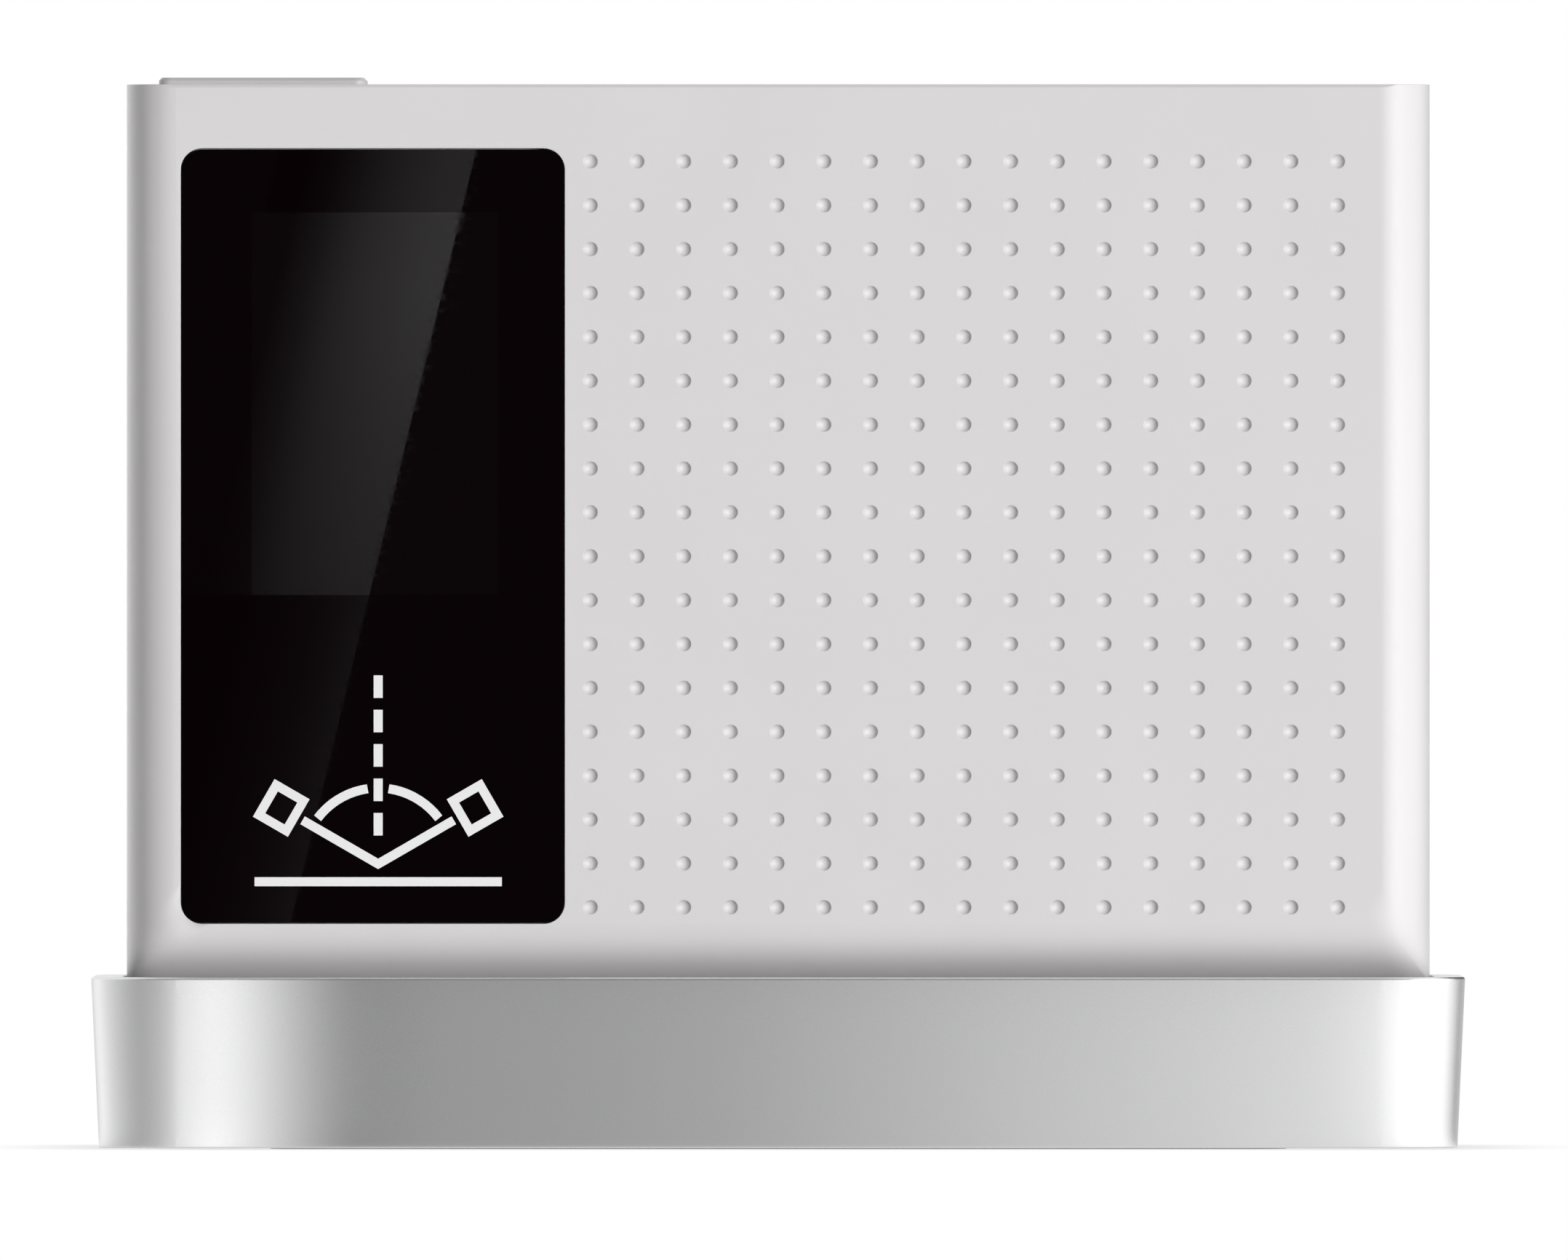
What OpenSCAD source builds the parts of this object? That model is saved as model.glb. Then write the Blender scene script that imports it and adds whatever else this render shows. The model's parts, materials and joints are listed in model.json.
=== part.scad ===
// Handheld gloss meter standing in its calibration holder.
// Millimetres. X runs to the viewer's right, Y from the front face to the rear,
// Z up, with the origin under the middle of the holder.

/* [Meter body] */
// Width of the two shells
body_w = 110; // [108:0.5:114]
// Depth of the closed shells, front face to rear face
body_d = 36; // [35.5:0.5:40]
// Height of the shells
body_h = 76.5; // [76:0.5:80]
// Rounding of the four upright edges
edge_r = 4.2; // [3:0.1:5]
// Rounding along the bottom front and bottom rear edges
heel_r = 6; // [5:0.25:6.5]
// Wall thickness of the shells
wall = 2.4; // [2.2:0.1:2.6]
// Visible gap along the line where the shells meet
reveal = 0.24; // [0.1:0.02:0.4]

/* [Display window] */
// Width of the black window
window_w = 32.2; // [31:0.2:33]
// Height of the black window
window_h = 65.2; // [60:0.2:66]
// Thickness of the window
window_t = 1.2; // [0.8:0.1:1.3]
// Thickness of the tape under the window
tape_t = 0.2; // [0.1:0.05:0.3]
// Corner radius of the window
window_r = 1.7; // [0.8:0.1:3]
// From the left side of the body to the window
window_left = 4.7; // [4.4:0.1:5]
// From the top of the body to the window
window_top = 5.5; // [4.5:0.1:6.5]
// Width of the lit screen
screen_w = 20.9; // [18:0.1:21.5]
// Height of the lit screen
screen_h = 32.3; // [28:0.1:33]

/* [Grip dimples] */
// Diameter of a dimple at the face
dimple_d = 1.2; // [0.8:0.1:1.6]
// Depth of a dimple
dimple_depth = 0.4; // [0.2:0.05:0.5]
// Dimples from left to right
dimple_columns = 17; // [8:1:17]
// Dimples from top to bottom
dimple_rows = 18; // [8:1:18]
// From the window to the first column
dimple_left = 2.26; // [1.6:0.02:3]
// From the right side of the body to the last column
dimple_right = 7.8; // [6:0.1:10]
// From the top of the body to the first row
dimple_top = 6.5; // [5:0.1:8]
// From the bottom of the body to the last row
dimple_bottom = 7.1; // [6.8:0.1:9]

/* [Measure key] */
// Width of the key along the top
key_w = 17.6; // [15:0.2:18]
// Depth of the key
key_d = 10; // [8:0.5:11]
// Height of the key above the top of the body
key_rise = 0.7; // [0.6:0.05:1.2]
// Corner radius of the key in plan
key_r = 1; // [0.75:0.25:3]
// How far the key goes down
key_travel = 0.4; // [0.3:0.05:0.5]
// From the left side of the body to the key
key_left = 2.6; // [2.6:0.1:3.4]

/* [Data port] */
// Height of the recess around the port
port_h = 12.1; // [11:0.1:13]
// Width of the recess
port_w = 7.6; // [7:0.1:8.4]
// Depth of the recess
port_depth = 1.2; // [0.8:0.1:1.4]

/* [Holder] */
// Height of the holder
holder_h = 14.4; // [14:0.1:16]
// Width of the rim around the meter
rim_w = 2.6; // [2.4:0.1:4]
// Gap between the meter and the rim
seat_gap = 0.4; // [0.2:0.05:0.8]
// Depth of the recess that takes the meter
seat_depth = 2.6; // [2.4:0.1:3]
// How far the shells reach below the rim
shell_sink = 1.2; // [0.8:0.1:1.4]
// How much the sides lean in towards the bottom
holder_taper = 0.65; // [0.2:0.05:1]
// Wall thickness of the holder
holder_wall = 2.8; // [2.4:0.1:3]
// Thickness of the black glass tile
tile_t = 4; // [3:0.1:4.4]

/* [Optics] */
// Angle of both beams from upright
beam_angle = 60; // [58:0.5:61]
// Diameter of the beam bores
beam_d = 9; // [7:0.25:9.5]
// Diameter of the lens bores
lens_bore = 11; // [10.5:0.1:11.6]
// Outer diameter of the optics tubes
tube_d = 15.6; // [14.6:0.1:16]
// Distance along the beam from the measured spot to the lens
lens_at = 24; // [22:0.5:26]
// How much shorter each optics tube is than half the body's width
tube_margin = 5; // [4:0.5:7]

/* [Battery] */
// Diameter of the AA cell
cell_d = 14.2; // [13.5:0.1:14.5]
// Length of the AA cell without its nub
cell_l = 49.2; // [48:0.1:49.5]
// Wall of the cell tray
tray_wall = 1.4; // [1.2:0.1:1.5]
// Thickness of the battery cover
cover_t = 1.6; // [1.3:0.1:1.8]

/* [Hidden] */
$fn = 48;

// Small values shared by the pieces
fit = 0.1;
slip = 0.05;
off_plane = 0.004;
top_chamfer = 0.25;
bite = 0.5;

// Heights
mat_proud = 0.4;
z_holder = mat_proud;
z_rim = z_holder + holder_h;
z_deck = z_rim - seat_depth;
z_body = z_rim - shell_sink;
z_top = z_body + body_h;
z_floor = z_body + wall;
z_roof = z_top - wall;

// Front and rear faces, outside and inside
y_out = body_d / 2;
y_in = y_out - wall;

// Window, screen and the parts behind it
window_x = -body_w / 2 + window_left + window_w / 2;
window_z = z_top - window_top - window_h / 2;
screen_x = window_x - window_w / 2 + 5.8 + 20.9 / 2;
screen_z = window_z + window_h / 2 - 5.3 - 32.3 / 2;
view_w = screen_w + 2.6;
view_h = screen_h + 3.2;
panel_w = view_w + 2;
panel_h = view_h + 1.6;
panel_t = 1.6;
frame_w = panel_w + 4;
frame_h = panel_h + 3.2;
frame_t = 3;
board_t = 1.6;
board_x0 = screen_x - 16;
board_x1 = screen_x + 16;
board_z0 = screen_z - frame_h / 2 - 5.2;
board_z1 = screen_z + frame_h / 2 + 3.9;
y_board = -y_in + frame_t;
y_board_back = y_board + board_t;
board_post_r = 1.9;
board_posts = [for (sx = [-1, 1]) for (z = [board_z0 + 2.4, board_z1 - 2]) [screen_x + sx * 11, z]];

// Sole plate and optics
sole_l = body_w - 18;
sole_w = 2 * (y_out - heel_r) - 2;
flange_t = 1.5;
flange_over = 3;
z_flange = z_floor + flange_t;
optics_l = sole_l - 10;
optics_w = sole_w;
optics_base_t = 5;
sole_screw_spots = [for (sx = [-1, 1]) for (sy = [-1, 1]) [sx * (sole_l / 2 - 11), sy * (sole_w / 2 - 4)]];
lens_t = 2;
tube_end = body_w / 2 - tube_margin;
slit_at = tube_end - 8;
slit_t = 0.5;

// Case screws: two low at the sides and one high in the middle
case_screw_d = 2.5;
case_head_d = 4.6;
case_head_h = 2;
case_post_r = 2.9;
case_spots = [[-body_w / 2 + 7, z_floor + 5], [body_w / 2 - 7, z_floor + 5],
              [0, z_roof - case_post_r - 0.1]];
y_head = y_out - 10;

// Battery tray in the rear shell
cell_clear = 0.3;
cell_nub = 1.3;
tray_l = cell_l + cell_nub + 5.5;
tray_h = cell_d + 2 * cell_clear;
tray_x0 = body_w / 2 - wall - 3.6 - tray_wall - tray_l;
tray_x1 = tray_x0 + tray_l;
tray_z = z_roof - 2 * case_post_r - 0.8 - tray_wall - tray_h / 2;
y_cell = y_out - cover_t - cell_clear - cell_d / 2;
y_tray = y_cell - cell_d / 2 - cell_clear;
cover_lap = 1.3;

// Measure key, its switch and its board
key_x = -body_w / 2 + key_left + key_w / 2;
key_edge = 0.25;
key_lip = 1;
key_lip_t = 0.8;
z_key_lip = z_roof - fit - key_lip_t;
switch_board_t = 1.2;
switch_board_w = 14;
switch_h = 3.4;
z_plunger = z_key_lip - 0.4;
z_switch = z_plunger - 1.2;
switch_well = 1.4 + key_travel;
z_switch_board = z_switch - switch_h;
shelf_t = 1.5;

// Data port on the right side
port_z = z_body + body_h / 2;
socket_h = 7.7;
socket_w = 3.9;
socket_l = 9.2;
socket_wall = 0.4;
socket_x1 = body_w / 2 - port_depth - 0.2;
port_board_t = 1.2;
port_board_x0 = socket_x1 - 15;
port_board_x1 = socket_x1 - 1.6;
port_board_h = 8.6;
y_port_board = socket_w / 2;
port_posts = [for (s = [-1, 1]) [port_board_x0 + 2.4, port_z + s * 2.6]];

// Holder
rim_chamfer = 0.15;
holder_w = body_w + 2 * (seat_gap + rim_w);
holder_d = body_d + 2 * (seat_gap + rim_w);
holder_r = edge_r + seat_gap + rim_w;
deck_t = 2.8;
pad_t = 0.5;
tile_l = body_w - 40;
tile_w = 2 * (y_out - heel_r);
tile_gap = 0.15;
tile_sink = 0.05;
base_t = 2.2;
mat_t = 1;
mat_l = holder_w - 30;
mat_w = holder_d - 12;
holder_post_r = 3;
holder_spots = [for (sx = [-1, 1]) for (sy = [-1, 1])
                [sx * (holder_w / 2 - 9.5), sy * (holder_d / 2 - 8.5)]];
holder_screw_d = 2.5;

// Shared shapes

// Rectangle with round corners, centred
module round_rect(w, h, r) {
    square([w - 2 * r, h], center = true);
    square([w, h - 2 * r], center = true);
    for (sx = [-1, 1], sy = [-1, 1])
        translate([sx * (w / 2 - r), sy * (h / 2 - r)]) circle(r);
}

// Plate lying flat, from height z up
module flat_plate(w, d, r, z, t) {
    translate([0, 0, z]) linear_extrude(t) round_rect(w, d, r);
}

// Plate facing the front, from depth y backwards
module front_plate(x, z, w, h, r, y, t) {
    translate([x, y + t, z]) rotate([90, 0, 0]) linear_extrude(t) round_rect(w, h, r);
}

// Rod along Y between two depths
module y_rod(spot, r, y0, y1) {
    translate([spot[0], y0, spot[1]]) rotate([-90, 0, 0]) cylinder(r = r, h = y1 - y0);
}

// Box between two corners
module box(a, b) {
    translate(a) cube(b - a);
}

// Side outline of the body, with the two round heels
module side_outline(inset) {
    hd = y_out - inset + off_plane;
    z0 = z_body + inset;
    z1 = z_top - inset;
    r = heel_r - inset;
    c = inset == 0 ? top_chamfer : 0.01;
    polygon([[hd, z1 - c], [hd - c, z1], [-hd + c, z1], [-hd, z1 - c],
             [-hd, z0 + r], [-hd + r, z0 + r], [-hd + r, z0],
             [hd - r, z0], [hd - r, z0 + r], [hd, z0 + r]]);
    for (s = [-1, 1])
        translate([s * (hd - r), z0 + r]) intersection() {
            circle(r);
            polygon([[0, 0], [0, -2 * r], [s * 2 * r, -2 * r], [s * 2 * r, 0]]);
        }
}

// Body as a solid, drawn in by the inset on every side
module body_solid(inset) {
    intersection() {
        translate([0, 0, z_body - 1]) linear_extrude(body_h + 2)
            round_rect(body_w - 2 * inset, body_d - 2 * inset, edge_r - inset);
        rotate([90, 0, 90]) linear_extrude(body_w + 10, center = true) side_outline(inset);
    }
}

// Slab of the body between two depths
module body_slice(inset, y0, y1) {
    intersection() {
        body_solid(inset);
        box([-body_w, y0, 0], [body_w, y1, z_top + 10]);
    }
}

// Openings that both shells share
module shell_openings() {
    box([-sole_l / 2 - fit, -sole_w / 2 - fit, z_body - 1],
        [sole_l / 2 + fit, sole_w / 2 + fit, z_floor + 0.01]);
    translate([key_x, 0, 0]) flat_plate(key_w + 2 * fit, key_d + 2 * fit, key_r, z_roof - 0.01, wall + 1);
    translate([body_w / 2 - port_depth, 0, port_z]) rotate([0, 90, 0])
        linear_extrude(port_depth + 1) round_rect(port_h, port_w, 1.8);
    translate([body_w / 2 - wall - 1.5, 0, port_z]) rotate([0, 90, 0])
        linear_extrude(wall + 2) round_rect(socket_h + 2 * fit, socket_w + 2 * fit, 0.6);
}

// Put the children on a beam, some way from the measured spot
module on_beam(side, s) {
    translate([0, 0, z_deck]) rotate([0, side * beam_angle, 0]) translate([0, 0, s]) children();
}

// Countersunk screw, head down at height z, pointing up
module sunk_screw(d, head, length) {
    cylinder(d1 = head, d2 = d, h = (head - d) / 2);
    cylinder(d = d, h = length);
}

// Pan head screw along Y, its head starting at depth y and towards the rear
module back_screw(spot, d, head, head_h, y, length) {
    y_rod(spot, head / 2, y, y + head_h);
    y_rod(spot, d / 2, y - length, y);
}

// Insulated wire through a list of points
module wire(points, d) {
    for (i = [0 : len(points) - 2]) {
        v = points[i + 1] - points[i];
        translate(points[i]) rotate([0, acos(v[2] / norm(v)), atan2(v[1], v[0])])
            cylinder(d = d, h = norm(v));
    }
    for (i = [1 : len(points) - 2]) translate(points[i]) sphere(d = d * 1.5);
}

// Holder pieces

// Upright block with round corners: drawn in by the taper at its foot, with a chamfer round its top
module tapered_block(w, d, r, z0, z1, taper, chamfer) {
    x = w / 2;
    y = d / 2;
    rotate([90, 0, 0]) linear_extrude(d - 2 * r, center = true)
        polygon([[taper - x, z0], [x - taper, z0], [x, z1 - chamfer], [x - chamfer, z1],
                 [chamfer - x, z1], [-x, z1 - chamfer]]);
    rotate([90, 0, 90]) linear_extrude(w - 2 * r, center = true)
        polygon([[taper - y, z0], [y - taper, z0], [y, z1 - chamfer], [y - chamfer, z1],
                 [chamfer - y, z1], [-y, z1 - chamfer]]);
    for (k = [0 : 3]) {
        sx = k == 0 || k == 3 ? 1 : -1;
        sy = k < 2 ? 1 : -1;
        translate([sx * (x - r), sy * (y - r), 0]) rotate([0, 0, 90 * k]) rotate_extrude(angle = 90)
            polygon([[0, z0], [r - taper, z0], [r, z1 - chamfer], [r - chamfer, z1], [0, z1]]);
    }
}

module holder_outline() {
    tapered_block(holder_w, holder_d, holder_r, z_holder, z_rim, holder_taper, rim_chamfer);
}

module holder_cavity_plan(gap) {
    m = 2 * (holder_wall + holder_taper + gap);
    round_rect(holder_w - m, holder_d - m, holder_r - holder_wall - gap);
}

module holder_shell() {
    pocket = tile_t + pad_t + tile_sink;
    color("silver") difference() {
        holder_outline();
        flat_plate(body_w + 2 * seat_gap, body_d + 2 * seat_gap, edge_r + seat_gap, z_deck, seat_depth + 1);
        flat_plate(tile_l + 2 * tile_gap, tile_w + 2 * tile_gap, 1.5, z_deck - pocket, pocket + 1);
        difference() {
            translate([0, 0, z_holder - 1]) linear_extrude(z_deck - deck_t - z_holder + 1)
                holder_cavity_plan(0);
            flat_plate(tile_l + 4, tile_w + 4, 2, z_deck - pocket - 1.6, pocket + 1.6);
            for (p = holder_spots)
                translate([p[0], p[1], z_holder + base_t]) cylinder(r = holder_post_r, h = holder_h);
        }
        for (p = holder_spots)
            translate([p[0], p[1], z_holder]) cylinder(d = holder_screw_d + fit, h = 8.5);
    }
}

module holder_base() {
    color("dimgray") difference() {
        translate([0, 0, z_holder]) linear_extrude(base_t) holder_cavity_plan(fit);
        flat_plate(mat_l, mat_w, 3, 0, mat_t + slip);
        for (p = holder_spots) translate([p[0], p[1], z_holder]) {
            translate([0, 0, -1]) cylinder(d = holder_screw_d + 2 * fit, h = base_t + 2);
            translate([0, 0, -0.01]) cylinder(d1 = 5.2, d2 = holder_screw_d + 2 * fit, h = 1.3);
        }
    }
}

module base_mat() {
    color("black") flat_plate(mat_l - 2 * fit, mat_w - 2 * fit, 3 - fit, 0, mat_t + slip);
}

module tile_pad() {
    color("dimgray") flat_plate(tile_l - 1, tile_w - 1, 1.2, z_deck - tile_t - pad_t - tile_sink, pad_t);
}

module calibration_tile() {
    color("black") flat_plate(tile_l, tile_w, 1.2, z_deck - tile_t - tile_sink, tile_t);
}

module holder_screws() {
    color("silver") for (p = holder_spots)
        translate([p[0], p[1], z_holder + 0.1]) difference() {
            sunk_screw(holder_screw_d, 4.9, 8);
            translate([0, 0, -1]) cylinder(d = 1.6, h = 1.7, $fn = 6);
        }
}

// Meter shells

// Grid of ball-shaped cuts between the window and the right side
module dimples() {
    ball = (dimple_d * dimple_d / 4 + dimple_depth * dimple_depth) / (2 * dimple_depth);
    x0 = window_x + window_w / 2 + dimple_left;
    x1 = body_w / 2 - dimple_right;
    z0 = z_top - dimple_top;
    z1 = z_body + dimple_bottom;
    for (i = [0 : dimple_columns - 1], j = [0 : dimple_rows - 1])
        translate([x0 + i * (x1 - x0) / (dimple_columns - 1), dimple_depth - y_out - ball,
                   z0 + j * (z1 - z0) / (dimple_rows - 1)]) sphere(r = ball);
}

module front_shell() {
    color("gainsboro") difference() {
        union() {
            difference() {
                union() {
                    body_slice(0, -body_d, -reveal / 2);
                    body_slice(wall / 2 + slip, -1, 1);
                }
                body_solid(wall);
            }
            for (p = case_spots) y_rod(p, case_post_r, -y_in - bite, 0);
            for (p = board_posts) y_rod(p, board_post_r, -y_in - bite, y_board);
        }
        shell_openings();
        front_plate(window_x, window_z, window_w + 2 * fit, window_h + 2 * fit, window_r + fit,
                    -y_out - 1, 1 + window_t + tape_t);
        front_plate(screen_x, screen_z, view_w, view_h, 0.6, -y_out, wall + 1);
        for (p = case_spots) y_rod(p, (case_screw_d + fit) / 2, -10, 1);
        for (p = board_posts) y_rod(p, 0.85, -y_in - 0.4, y_board + 1);
        dimples();
    }
}

module battery_tray() {
    w = tray_wall;
    difference() {
        box([tray_x0 - w, y_tray - w, tray_z - tray_h / 2 - w],
            [tray_x1 + w, y_in + bite, tray_z + tray_h / 2 + w]);
        box([tray_x0, y_tray, tray_z - tray_h / 2], [tray_x1, y_out + 1, tray_z + tray_h / 2]);
    }
}

module rear_shell() {
    color("gainsboro") difference() {
        union() {
            difference() {
                body_slice(0, reveal / 2, body_d);
                body_slice(wall, -1, body_d);
                body_slice(wall / 2, -1, 1);
            }
            battery_tray();
            for (p = case_spots) y_rod(p, case_post_r, 0, y_in + bite);
            for (p = port_posts) y_rod(p, 1.9, y_port_board + port_board_t, y_in + bite);
            box([-body_w / 2 + wall - bite, 1.5, z_switch_board - switch_board_t - shelf_t],
                [key_x + switch_board_w / 2, y_in + bite, z_switch_board - switch_board_t]);
        }
        shell_openings();
        box([tray_x0, y_tray, tray_z - tray_h / 2], [tray_x1, y_out + 1, tray_z + tray_h / 2]);
        front_plate((tray_x0 + tray_x1) / 2, tray_z, tray_l + 2 * cover_lap, tray_h + 2 * cover_lap, 1.5,
                    y_out - cover_t, cover_t + 1);
        for (p = case_spots) {
            y_rod(p, (case_screw_d + 3 * fit) / 2, -1, y_out + 1);
            y_rod(p, (case_head_d + 4 * fit) / 2, y_head, y_out + 1);
        }
        for (p = port_posts) y_rod(p, 0.85, y_port_board, y_port_board + 7);
        for (x = [-4, 4]) translate([key_x + x, 7, z_switch_board - 6]) cylinder(d = 1.7, h = 6);
    }
}

// Window and display

module window_tape() {
    color("dimgray") difference() {
        front_plate(window_x, window_z, window_w - 0.6, window_h - 0.6, window_r - 0.2,
                    -y_out + window_t, tape_t);
        front_plate(screen_x, screen_z, view_w + 0.4, view_h + 0.4, 0.6, -y_out, wall);
    }
}

module display_window() {
    color("black") front_plate(window_x, window_z, window_w, window_h, window_r, -y_out, window_t);
}

module display_panel() {
    color("darkslategray") front_plate(screen_x, screen_z, panel_w, panel_h, 0.3, -y_in, panel_t);
}

module display_frame() {
    color("dimgray") difference() {
        front_plate(screen_x, screen_z, frame_w, frame_h, 0.8, -y_in, frame_t);
        front_plate(screen_x, screen_z, panel_w + 2 * fit, panel_h + 2 * fit, 0.3, -y_in - 1, 1 + panel_t);
        box([screen_x - 5.5, -y_in + 0.5, screen_z - frame_h / 2 - 1],
            [screen_x + 5.5, -y_in + panel_t, screen_z - panel_h / 2]);
    }
}

module display_ribbon() {
    t = 0.2;
    z0 = screen_z - panel_h / 2 - fit / 2;
    z1 = board_z0 - 0.9;
    y0 = -y_in + 0.9;
    y1 = y_board_back + 0.5;
    color("orange") translate([screen_x - 5, 0, 0]) rotate([90, 0, 90]) linear_extrude(10)
        polygon([[y0, z0], [y0, z1], [y1 + t, z1], [y1 + t, board_z0 + 3],
                 [y1, board_z0 + 3], [y1, z1 + t], [y0 + t, z1 + t], [y0 + t, z0]]);
}

module main_board() {
    color("darkgreen") difference() {
        box([board_x0, y_board, board_z0], [board_x1, y_board_back, board_z1]);
        for (p = board_posts) y_rod(p, 1.1, y_board - 1, y_board_back + 1);
    }
}

module board_chips() {
    y = y_board_back;
    color("black") {
        box([screen_x - 2, y, screen_z - 4], [screen_x + 8, y + 1.2, screen_z + 6]);
        box([screen_x - 12, y, screen_z + 4], [screen_x - 7, y + 1.4, screen_z + 8]);
        box([screen_x - 12, y, screen_z - 5], [screen_x - 8, y + 1, screen_z - 1]);
        box([screen_x - 5, y, screen_z + 10], [screen_x + 1, y + 1.6, screen_z + 13]);
    }
}

// Connectors on the rear of the main board: ribbon, lamp, detector, battery, port, switch
lamp_plug = [board_x0 + 2.6, board_z0 + 8.5];
detector_plug = [board_x1 - 3, board_z0 + 8.5];
port_plug = [board_x1 - 3, port_z];
battery_plug = [board_x1 - 3, screen_z + 8];
switch_plug = [board_x0 + 6, screen_z + 12];
plug_t = 2.6;
y_plug = y_board_back + plug_t;

module board_connectors() {
    color("ivory") {
        box([screen_x - 6, y_board_back, board_z0 + 3], [screen_x + 6, y_board_back + 1.4, board_z0 + 7.4]);
        for (p = [lamp_plug, detector_plug, port_plug, battery_plug, switch_plug])
            box([p[0] - 2.4, y_board_back, p[1] - 2.2], [p[0] + 2.4, y_plug, p[1] + 2.2]);
    }
}

module board_screws() {
    color("silver") for (p = board_posts) back_screw(p, 1.6, 3, 1.2, y_board_back, 4);
}

// Key switch

module switch_board() {
    color("darkgreen") difference() {
        box([key_x - switch_board_w / 2, -6, z_switch_board - switch_board_t],
            [key_x + switch_board_w / 2, 9, z_switch_board]);
        for (x = [-4, 4]) translate([key_x + x, 7, z_switch_board - 3]) cylinder(d = 2.2, h = 6);
    }
}

module switch_body() {
    color("dimgray") difference() {
        box([key_x - 3, -3, z_switch_board], [key_x + 3, 3, z_switch]);
        translate([key_x, 0, z_switch - switch_well]) cylinder(d = 3.4 + 2 * fit, h = switch_well + 1);
    }
}

module switch_screws() {
    color("silver") for (x = [-4, 4]) translate([key_x + x, 7, z_switch_board]) {
        cylinder(d = 3, h = 1.2);
        translate([0, 0, -4.2]) cylinder(d = 1.6, h = 4.2);
    }
}

module switch_plunger() {
    color("black") translate([key_x, 0, z_plunger - 2.4]) cylinder(d = 3.4, h = 2.4);
}

module measure_key() {
    lip_x1 = key_x + key_w / 2 + key_lip;
    color("darkgray") {
        difference() {
            translate([key_x, 0, 0])
                tapered_block(key_w, key_d, key_r, z_key_lip, z_top + key_rise, 0, key_edge);
            translate([key_x, 0, 0]) flat_plate(key_w - 3, key_d - 3, 1, z_key_lip - 1, 2.4);
        }
        difference() {
            box([key_x - key_w / 2 + 2, -key_d / 2 - key_lip, z_key_lip],
                [lip_x1, key_d / 2 + key_lip, z_key_lip + key_lip_t]);
            translate([key_x, 0, 0]) flat_plate(key_w - 3, key_d - 3, 1, z_key_lip - 1, 4);
        }
        translate([key_x, 0, z_plunger]) cylinder(d = 4, h = z_top - 1 - z_plunger);
    }
}

// Data port

module port_board() {
    color("darkgreen") difference() {
        box([port_board_x0, y_port_board, port_z - port_board_h / 2],
            [port_board_x1, y_port_board + port_board_t, port_z + port_board_h / 2]);
        for (p = port_posts) y_rod(p, 1.1, y_port_board - 1, y_port_board + port_board_t + 1);
    }
}

module port_socket() {
    w = socket_wall;
    color("silver") difference() {
        translate([socket_x1 - socket_l, 0, port_z]) rotate([0, 90, 0])
            linear_extrude(socket_l) round_rect(socket_h, socket_w, 0.5);
        difference() {
            box([socket_x1 - socket_l + 1.5, -socket_w / 2 + w, port_z - socket_h / 2 + w],
                [socket_x1 + 1, socket_w / 2 - w, port_z + socket_h / 2 - w]);
            box([socket_x1 - socket_l, 0.1, port_z - 2.4], [socket_x1 - 1, 0.9, port_z + 2.4]);
        }
    }
}

module port_screws() {
    color("silver") for (p = port_posts) {
        y_rod(p, 1.5, y_port_board - 1.2, y_port_board);
        y_rod(p, 0.8, y_port_board, y_port_board + 5);
    }
}

// Sole and optics

module sole_plate() {
    color("black") difference() {
        union() {
            box([-sole_l / 2, -sole_w / 2, z_deck], [sole_l / 2, sole_w / 2, z_flange]);
            box([-sole_l / 2 - flange_over, -sole_w / 2 - 0.9, z_floor],
                [sole_l / 2 + flange_over, sole_w / 2 + 0.9, z_flange]);
        }
        for (side = [-1, 1]) on_beam(side, -12) cylinder(d = beam_d, h = 40);
        for (p = sole_screw_spots) translate([p[0], p[1], z_deck]) {
            translate([0, 0, -1]) cylinder(d = 2.7, h = 10);
            translate([0, 0, -0.01]) cylinder(d1 = 5.4, d2 = 2.7, h = 1.35);
        }
    }
}

module sole_screws() {
    color("silver") for (p = sole_screw_spots)
        translate([p[0], p[1], z_deck + 0.15]) difference() {
            sunk_screw(2.5, 4.9, 8.6);
            translate([0, 0, -1]) cylinder(d = 1.6, h = 1.7, $fn = 6);
        }
}

module optics_block() {
    color("dimgray") difference() {
        union() {
            box([-optics_l / 2, -optics_w / 2, z_flange],
                [optics_l / 2, optics_w / 2, z_flange + optics_base_t]);
            for (side = [-1, 1]) on_beam(side, 14) cylinder(d = tube_d, h = tube_end - 14);
            rotate([90, 0, 0]) linear_extrude(6, center = true)
                polygon([[-26, z_flange + 1], [26, z_flange + 1],
                         [26, z_flange + 12], [-26, z_flange + 12]]);
        }
        box([-60, -20, 0], [60, 20, z_flange]);
        for (side = [-1, 1]) {
            on_beam(side, -12) cylinder(d = beam_d, h = lens_at + 13);
            on_beam(side, lens_at) cylinder(d = lens_bore, h = tube_end);
        }
        for (p = sole_screw_spots) translate([p[0], p[1], z_flange - 1]) cylinder(d = 2.6, h = 5.2);
    }
}

module lens(side) {
    ball = 14;
    on_beam(side, lens_at) {
        cylinder(d = lens_bore - 2 * slip, h = lens_t);
        intersection() {
            translate([0, 0, lens_t + 1 - ball]) sphere(r = ball);
            translate([0, 0, lens_t - 0.5]) cylinder(d = 9.4, h = 3);
        }
    }
}

module lens_ring(side) {
    on_beam(side, lens_at + lens_t) difference() {
        cylinder(d = lens_bore - 2 * slip, h = 3);
        translate([0, 0, -1]) cylinder(d = 9.7, h = 5);
    }
}

module slit(side, w) {
    on_beam(side, slit_at) difference() {
        cylinder(d = lens_bore - 2 * slip, h = slit_t);
        translate([-w / 2, -1.5, -1]) cube([w, 3, 3]);
    }
}

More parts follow.
